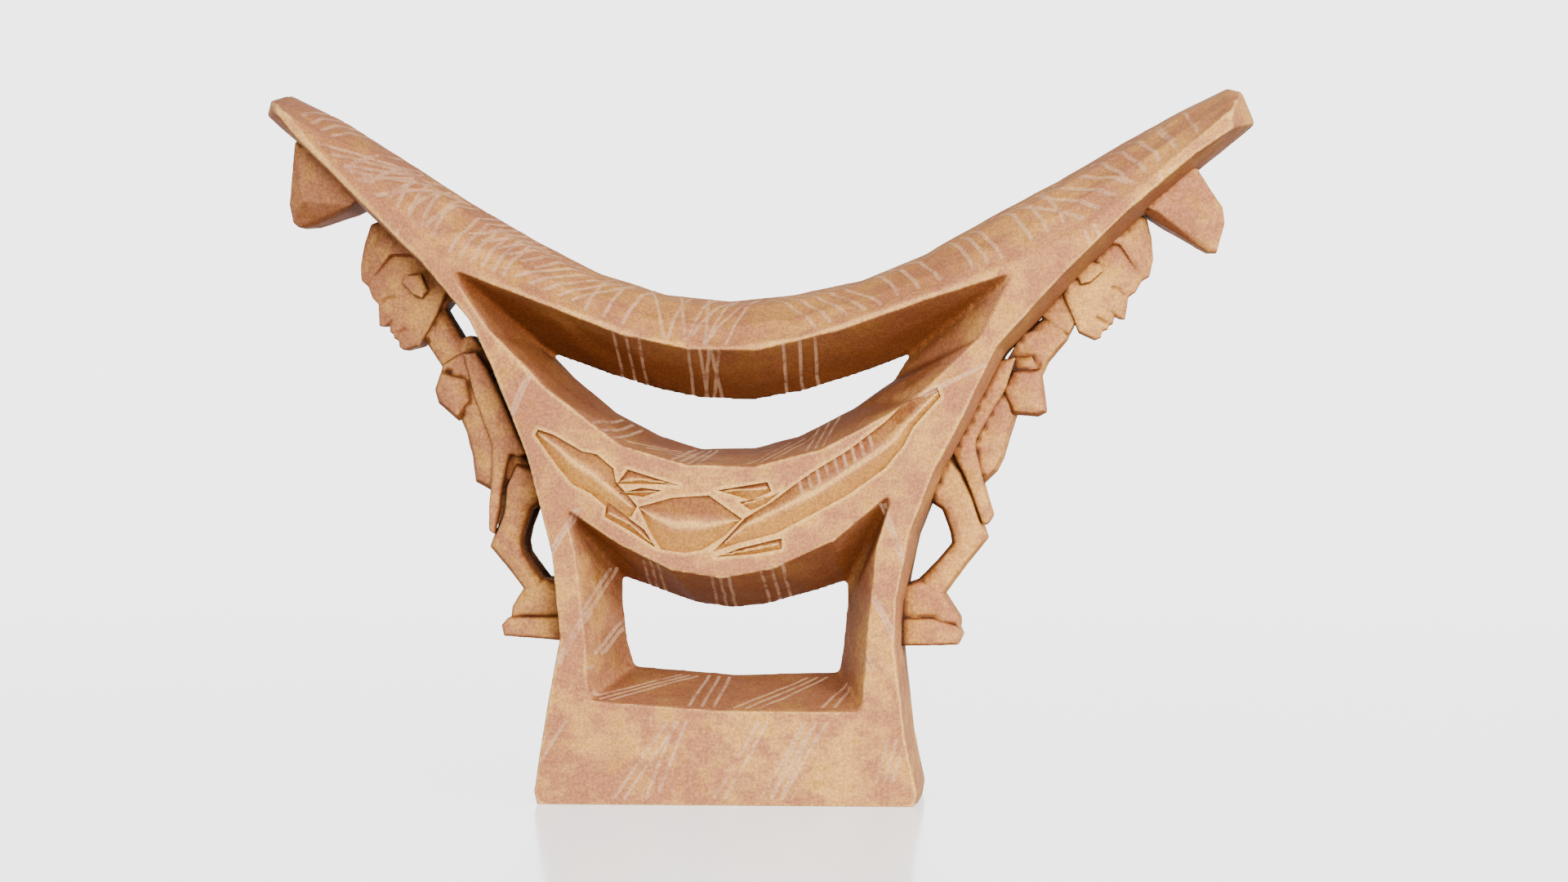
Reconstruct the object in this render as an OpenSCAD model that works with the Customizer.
// Carved wooden headrest: a crescent neck rest on two flared posts, with a second arch
// below it, a crocodile in low relief on that arch, and a seated figure outside each post.
// X runs to the right, Y to the back and Z up. The origin is on the underside of the base.

/* [Block] */
// Depth of the carved block, front to back
depth = 46; // [36:1:56]
// Height of the joint between the base and the posts
base_top = 32; // [30:0.5:34]
// Height of the corners where posts, arms and neck rest meet
shoulder_z = 128.5; // [127:0.5:130]

/* [Relief] */
// How deep the crocodile's edges are cut below the face of the arch
croc_cut = 1.4; // [0.6:0.2:2]
// How thick the crocodile is where its spine meets the face of the arch
croc_thickness = 2.6; // [2.2:0.2:4]

/* [Figures] */
// Half the distance between a figure's two knees
knee_y = 6.2; // [5:0.2:8]
// Half the distance between a figure's two elbows
elbow_y = 7.6; // [6:0.2:9]
// Width of the ledge that the feet stand on
ledge_w = 22; // [16:1:28]

/* [Finish] */
// Facets round each rounded form
round_fn = 14; // [12:2:28]

/* [Hidden] */

half = depth / 2;
far = 200;

// Outer outline of the block as [x, z], clockwise from the left tip, at the middle of its
// depth and at its front and back faces. Both lists have the same points in the same order.
outline_mid = [
    // crest of the neck rest, left tip to right tip
    [-113, 171], [-109, 172.6], [-96, 166.2], [-80, 156], [-64, 146], [-48, 136.6],
    [-32, 128.4], [-16, 123.2], [0, 121.7], [16, 123.2], [32, 126.6], [48, 133],
    [64, 142], [80, 150.6], [96, 159.7], [110, 167.3], [121, 172.6], [124.5, 171.8],
    // underside of the right arm, then the right post and base
    [127.6, 164], [113.5, 152.2], [99, 139.8], [83.6, 124.6], [68, 108.4], [60, 93],
    [52.5, 79], [46.5, 64.5], [43.2, 48], [42.8, 37.5], [45, 16], [47.6, 3], [46.8, 0],
    // left base and post, then the underside of the left arm
    [-46, 0], [-46.4, 3], [-44.3, 16], [-40.2, 40], [-42.3, 60], [-48.2, 83.5],
    [-57.2, 106.4], [-62.5, 117], [-74.2, 129.4], [-89, 143.4], [-104, 158.6], [-114, 167]];
outline_face = [
    [-108.2, 168.2], [-105.5, 166.5], [-98, 157.5], [-86, 146], [-72, 133.6], [-54, 125.6],
    [-36, 118.4], [-18, 112], [0, 109.5], [18, 111.6], [35, 117.2], [52, 123.2],
    [69, 129.2], [84, 136.2], [99, 147], [111, 157.2], [119.5, 164.5], [121.3, 165.5],
    [121.3, 161], [112, 154.7], [96.7, 141.8], [81.2, 126.6], [65.8, 109.8], [58, 94],
    [50.7, 80], [44.8, 65], [41.6, 48.3], [41.3, 37.5], [43.9, 16.2], [46.8, 2.8], [46, 0],
    [-44.5, 0], [-45.3, 3], [-43.2, 16], [-38.9, 40], [-41, 60], [-47, 83.5],
    [-55.8, 106], [-61, 116.4], [-72.8, 130.6], [-87.6, 144.8], [-102.5, 159.7],
    [-108.3, 166.6]];

// The gap under the neck rest and the window over the base, each carved in from both
// faces to an edge at the middle of the depth.
gap_face = [
    [-66, 128.8], [-44, 120.3], [-24, 112.6], [-8, 109], [8, 108.8], [28, 113.6],
    [48, 120.5], [70, 127.5], [62, 112], [46, 96.8], [24, 85], [8, 81], [-8, 81.3],
    [-24, 86.2], [-42, 99.5], [-56, 113.7]];
gap_mid = [
    [-44.7, 109], [-30, 103.8], [-17, 99.8], [-6, 97.5], [6, 97.2], [18, 99.3],
    [31, 103.5], [44.2, 108.6], [40, 101.8], [30, 95.2], [17, 88.5], [6, 85.8],
    [-7, 85.5], [-17, 88.5], [-28, 94.2], [-38, 102.4]];
window_face = [
    [-38, 71], [-24, 62], [-12, 56.2], [0, 54.4], [12, 56.6], [26, 63], [41, 75.3],
    [37, 62], [35.3, 44], [33.6, 22.6], [0, 22.5], [-32, 25], [-33, 40], [-35.3, 60]];
window_mid = [
    [-26.5, 54], [-18, 51], [-8, 47.3], [1, 46.2], [10, 47.3], [20, 50.3], [28.6, 53],
    [28.6, 46], [27.6, 37], [26.6, 30.8], [1, 30.1], [-23.5, 32], [-25.2, 38], [-26.3, 47]];

// Corners of the gap and window, which the joints between the elements run through
left_corner = [-66, shoulder_z];
right_corner = [70, shoulder_z];
left_foot = [-26, 46];
right_foot = [24.5, 46];
left_crest = [-46.5, 160];
right_crest = [51.5, 160];

// Line along the middle of the gap, between the neck rest and the lower arch
gap_line = [left_corner, [-40, 105], [-26, 98], [-8, 91.5], [8, 91.5], [28, 98.3],
            [40, 104.6], right_corner];

wood = [0.71, 0.55, 0.45];
pale_wood = [0.80, 0.66, 0.54];
ochre_wood = [0.64, 0.46, 0.25];
dark_wood = [0.52, 0.33, 0.2];

function blend(a, b, t) = [for (i = [0:len(a) - 1]) a[i] + (b[i] - a[i]) * t];

// A solid through outlines of equal length, one at each place along Y
module loft(outlines, places) {
    n = len(outlines[0]);
    rings = len(places);
    points = [for (k = [0:rings - 1]) for (p = outlines[k]) [p[0], places[k], p[1]]];
    sides = [for (k = [0:rings - 2]) for (i = [0:n - 1])
        let (j = (i + 1) % n)
        each [[k * n + i, (k + 1) * n + j, k * n + j], [k * n + i, (k + 1) * n + i, (k + 1) * n + j]]];
    front = [[for (i = [0:n - 1]) i]];
    back = [[for (i = [0:n - 1]) rings * n - 1 - i]];
    polyhedron(points, concat(sides, front, back), convexity = 12);
}

// The block before it is pierced: crowned from front to back
module block() {
    steps = [-1, -0.75, -0.4, 0, 0.4, 0.75, 1];
    loft([for (s = steps) blend(outline_mid, outline_face, s * s)], [for (s = steps) s * half]);
}

// An opening carved in from both faces to an edge at the middle of the depth
module opening(face, middle) {
    past = 1.1;
    outer = blend(middle, face, past);
    loft([outer, middle, outer], [-past * half, 0, past * half]);
}

module pierced_block() {
    difference() {
        block();
        opening(gap_face, gap_mid);
        opening(window_face, window_mid);
    }
}

// Stands an [x, z] outline up and gives it a thickness along Y
module slab(outline, from_y, to_y) {
    translate([0, to_y, 0])
        rotate([90, 0, 0])
            linear_extrude(to_y - from_y)
                polygon(outline);
}

// The part of the pierced block inside an [x, z] outline
module element(outline) {
    intersection() {
        pierced_block();
        slab(outline, -depth, depth);
    }
}

// ---- carved frame ----

module base() {
    color(wood)
        element([[-far, -1], [far, -1], [far, base_top], [-far, base_top]]);
}

module left_post() {
    color(pale_wood)
        element([[-far, base_top], [-4, base_top], left_foot, left_corner, [-far, shoulder_z]]);
}

module right_post() {
    color(pale_wood)
        element([[far, base_top], [4, base_top], right_foot, right_corner, [far, shoulder_z]]);
}

module lower_arch() {
    color(wood)
        difference() {
            element(concat([right_foot, left_foot], gap_line));
            pockets();
        }
}

module neck_rest() {
    color(wood)
        element(concat(gap_line, [right_crest, left_crest]));
}

module left_arm() {
    color(wood)
        element([left_corner, left_crest, [left_crest[0], far], [-far, far], [-far, shoulder_z]]);
}

module right_arm() {
    color(wood)
        element([right_corner, right_crest, [right_crest[0], far], [far, far], [far, shoulder_z]]);
}

// ---- lugs under the arm tips ----

module ball(x, y, z, r) {
    translate([x, y, z])
        sphere(r, $fn = round_fn);
}

// A lug hanging from the arm: a root outline, a ridge half way and a narrower tip outline
module lug(root, tip, root_w, tip_w) {
    difference() {
        hull() {
            slab(root, -root_w / 2, root_w / 2);
            slab(tip, -tip_w / 2, tip_w / 2);
        }
        block();
    }
}

module left_lug() {
    color(wood)
        lug([[-101, 163], [-106, 160], [-92, 143.4], [-86, 148]],
            [[-108.4, 146], [-107.6, 141], [-105.6, 139.8], [-103, 140]], 24, 12);
}

module right_lug() {
    color(wood)
        lug([[106, 156], [113.5, 152], [103, 142], [96, 146]],
            [[119.6, 142.6], [120.3, 139.4], [117.8, 132.6], [116.2, 132.6]], 24, 12);
}

// ---- crocodile relief ----
// Each leaf of the relief has an outline, cut below the face, and a spine level with the face.

head_leaf = [[[-45, 89.5], [-40.5, 88.5], [-30.5, 84.5], [-19.5, 71], [-23.5, 68.5],
              [-39.5, 80.5], [-45, 88]], [[-42, 87], [-35.5, 81.5], [-23, 72.5]]];
body_leaf = [[[-20.5, 71.5], [-13, 73.8], [-2.5, 74.5], [5, 68.5], [-3.5, 60.8], [-14.5, 61],
              [-18.5, 66.5]], [[-16, 68.5], [1, 67.8]]];
tail_leaves = [[[[5, 68.5], [16.5, 76], [13, 65], [-3.5, 60.8]], [[4, 66], [14.5, 71]]],
               [[[16.5, 76], [30.5, 85], [30.5, 74.5], [13, 65]], [[15.5, 71.5], [30.5, 80]]],
               [[[30.5, 85], [41.5, 94.5], [43.5, 86], [30.5, 74.5]], [[31.5, 80.5], [42, 89.5]]],
               [[[41.5, 94.5], [51.5, 100], [52.4, 97.8], [43.5, 86]], [[43, 90.5], [50.8, 98]]]];
front_leg_leaves = [[[[-26, 76.6], [-23, 80.5], [-10, 76.5], [-20.5, 74.2]], [[-23, 77.6], [-15, 76.4]]],
                    [[[-28, 72.2], [-28, 69], [-15.5, 61.5], [-19.5, 66]], [[-26, 69.6], [-20, 65.4]]]];
hind_leg_leaves = [[[[-1.5, 74.5], [10.5, 76.5], [12, 74.5], [7, 71.6]], [[2, 73.8], [10, 75]]],
                   [[[-3.5, 59.5], [14, 61], [14.5, 64.5], [2, 61.6]], [[2, 60.6], [12.5, 62.6]]]];

// The hollow that a leaf fills in the face of the arch
module pocket(leaf) {
    slab(leaf[0], -half - 1, croc_thickness - half);
}

module pockets() {
    translate([0, croc_thickness - half, 0])
        rotate([90, 0, 0])
            linear_extrude(croc_thickness + 1)
                for (leaf = concat([head_leaf, body_leaf], tail_leaves, front_leg_leaves, hind_leg_leaves))
                    polygon(leaf[0]);
}

// A leaf of relief, from the floor of its pocket to its spine
module relief(leaf) {
    spine_r = 0.4;
    hull() {
        slab(leaf[0], croc_cut - half, croc_thickness - half);
        for (p = leaf[1])
            slab([[p[0] - spine_r, p[1]], [p[0], p[1] - spine_r], [p[0] + spine_r, p[1]],
                  [p[0], p[1] + spine_r]], -half, croc_thickness - half);
    }
}

module crocodile_head() {
    color(pale_wood)
        relief(head_leaf);
}

module crocodile_body() {
    color(pale_wood)
        difference() {
            relief(body_leaf);
            pocket(head_leaf);
        }
}

module crocodile_tail() {
    color(ochre_wood)
        difference() {
            for (leaf = tail_leaves)
                relief(leaf);
            pocket(body_leaf);
        }
}

module crocodile_front_legs() {
    color(ochre_wood)
        difference() {
            for (leaf = front_leg_leaves)
                relief(leaf);
            pocket(head_leaf);
            pocket(body_leaf);
        }
}

module crocodile_hind_legs() {
    color(ochre_wood)
        difference() {
            for (leaf = hind_leg_leaves)
                relief(leaf);
            pocket(body_leaf);
            pocket(tail_leaves[0]);
        }
}

// ---- seated figures ----
// Each figure is given by places along its side view; flip is -1 for the one on the left.

left_fig = [["crown", [-81, 138]], ["skull", [-82, 130]], ["jaw", [-81, 116.5]],
            ["nape", [-75.5, 119]], ["collar", [-67.5, 106.5]], ["chest", [-65, 101.5]],
            ["belly", [-57.5, 84]], ["hip", [-52, 78.5]], ["bust", [-67.6, 97.2]],
            ["shoulder", [-62.2, 105]], ["elbow", [-53.4, 85]], ["wrist", [-57, 73.6]],
            ["hand", [-56.4, 69]], ["seat", [-46.4, 72.6]], ["knee", [-55.6, 63.4]],
            ["ankle", [-48, 51]], ["toe", [-51.8, 46.2]], ["ledge", [-54.4, 38.9]]];
right_fig = [["crown", [91, 138]], ["skull", [91.6, 130]], ["jaw", [87.4, 115.8]],
             ["nape", [82.4, 118]], ["collar", [74.5, 107.5]], ["chest", [70.4, 102]],
             ["belly", [62.4, 85]], ["hip", [56.4, 79]], ["bust", [72.8, 97.4]],
             ["shoulder", [66.6, 105]], ["elbow", [57, 86]], ["wrist", [62, 76]],
             ["hand", [62.6, 70.4]], ["seat", [50.4, 74.6]], ["knee", [60.4, 65]],
             ["ankle", [52.4, 52.6]], ["toe", [56, 46.4]], ["ledge", [57.2, 38.2]]];

bust_y = 4;
bust_r = 3.8;

function at(fig, name) = [for (entry = fig) if (entry[0] == name) entry[1]][0];

module joint_ball(fig, name, y, r) {
    p = at(fig, name);
    ball(p[0], y, p[1], r);
}

module limb(fig, name_a, y_a, r_a, name_b, y_b, r_b) {
    hull() {
        joint_ball(fig, name_a, y_a, r_a);
        joint_ball(fig, name_b, y_b, r_b);
    }
}

module head_shape(fig, flip) {
    brow = at(fig, "skull") + [6.4 * flip, -2];
    chin = at(fig, "jaw") + [1.6 * flip, -2.6];
    hull() {
        joint_ball(fig, "crown", 0, 7.6);
        joint_ball(fig, "skull", 0, 8.8);
        ball(brow[0], 0, brow[1], 3.2);
    }
    hull() {
        joint_ball(fig, "skull", 0, 7.6);
        joint_ball(fig, "jaw", 0, 5.2);
        ball(chin[0], 0, chin[1], 2.4);
        ball(brow[0], 0, brow[1], 2.6);
    }
}

module figure_head(fig, flip) {
    difference() {
        head_shape(fig, flip);
        block();
    }
}

module figure_neck(fig, flip) {
    difference() {
        limb(fig, "nape", 0, 3.6, "collar", 0, 4.4);
        head_shape(fig, flip);
        block();
    }
}

module torso_shape(fig) {
    hull() {
        joint_ball(fig, "chest", 0, 6.4);
        joint_ball(fig, "belly", 0, 6);
        joint_ball(fig, "hip", 0, 5.4);
    }
}

module figure_torso(fig) {
    difference() {
        torso_shape(fig);
        limb(fig, "nape", 0, 3.6, "collar", 0, 4.4);
        block();
    }
}

module figure_bust(fig) {
    difference() {
        for (side = [-1, 1])
            joint_ball(fig, "bust", side * bust_y, bust_r);
        torso_shape(fig);
    }
}

module leg_shape(fig, side) {
    y = side * knee_y;
    limb(fig, "seat", y, 4.2, "knee", y, 3.6);
    limb(fig, "knee", y, 3.6, "ankle", y, 2.6);
}

module arm_shape(fig, side) {
    y = side * elbow_y;
    limb(fig, "shoulder", y, 3, "elbow", y, 2.7);
    limb(fig, "elbow", y, 2.7, "wrist", side * knee_y, 2.2);
    limb(fig, "wrist", side * knee_y, 2.2, "hand", side * knee_y, 2.7);
}

module figure_arm(fig, side) {
    difference() {
        arm_shape(fig, side);
        torso_shape(fig);
        leg_shape(fig, side);
        joint_ball(fig, "bust", side * bust_y, bust_r);
        block();
    }
}

module ledge_shape(fig, flip) {
    tip = at(fig, "ledge");
    root_x = tip[0] - flip * 20;
    slab([[root_x, tip[1] - 0.6], [tip[0] - flip, tip[1]], [tip[0], tip[1] + 1], [tip[0], tip[1] + 3.2],
          [tip[0] - flip * 2, tip[1] + 4.4], [root_x, tip[1] + 4.4]], -ledge_w / 2, ledge_w / 2);
}

module figure_ledge(fig, flip) {
    difference() {
        ledge_shape(fig, flip);
        block();
    }
}

module foot_shape(fig, flip, side) {
    ledge_top = at(fig, "ledge")[1] + 4.4;
    intersection() {
        limb(fig, "ankle", side * knee_y, 3.4, "toe", side * knee_y, 3.2);
        translate([-far, -far, ledge_top])
            cube(2 * far);
    }
}

module figure_feet(fig, flip) {
    difference() {
        for (side = [-1, 1])
            foot_shape(fig, flip, side);
        block();
    }
}

module figure_leg(fig, flip, side) {
    difference() {
        leg_shape(fig, side);
        torso_shape(fig);
        foot_shape(fig, flip, side);
        block();
    }
}

module left_figure_head() { color(pale_wood) figure_head(left_fig, -1); }
module left_figure_neck() { color(wood) figure_neck(left_fig, -1); }
module left_figure_torso() { color(pale_wood) figure_torso(left_fig); }
module left_figure_bust() { color(wood) figure_bust(left_fig); }
module left_figure_front_arm() { color(wood) figure_arm(left_fig, -1); }
module left_figure_back_arm() { color(wood) figure_arm(left_fig, 1); }
module left_figure_front_leg() { color(wood) figure_leg(left_fig, -1, -1); }
module left_figure_back_leg() { color(wood) figure_leg(left_fig, -1, 1); }
module left_figure_feet() { color(dark_wood) figure_feet(left_fig, -1); }
module left_figure_ledge() { color(wood) figure_ledge(left_fig, -1); }

module right_figure_head() { color(pale_wood) figure_head(right_fig, 1); }
module right_figure_neck() { color(wood) figure_neck(right_fig, 1); }
module right_figure_torso() { color(pale_wood) figure_torso(right_fig); }
module right_figure_bust() { color(wood) figure_bust(right_fig); }
module right_figure_front_arm() { color(wood) figure_arm(right_fig, -1); }
module right_figure_back_arm() { color(wood) figure_arm(right_fig, 1); }
module right_figure_front_leg() { color(wood) figure_leg(right_fig, 1, -1); }
module right_figure_back_leg() { color(wood) figure_leg(right_fig, 1, 1); }
module right_figure_feet() { color(dark_wood) figure_feet(right_fig, 1); }
module right_figure_ledge() { color(wood) figure_ledge(right_fig, 1); }

base();
left_post();
right_post();
lower_arch();
neck_rest();
left_arm();
right_arm();
left_lug();
right_lug();
crocodile_head();
crocodile_body();
crocodile_tail();
crocodile_front_legs();
crocodile_hind_legs();
left_figure_head();
left_figure_neck();
left_figure_torso();
left_figure_bust();
left_figure_front_arm();
left_figure_back_arm();
left_figure_front_leg();
left_figure_back_leg();
left_figure_feet();
left_figure_ledge();
right_figure_head();
right_figure_neck();
right_figure_torso();
right_figure_bust();
right_figure_front_arm();
right_figure_back_arm();
right_figure_front_leg();
right_figure_back_leg();
right_figure_feet();
right_figure_ledge();
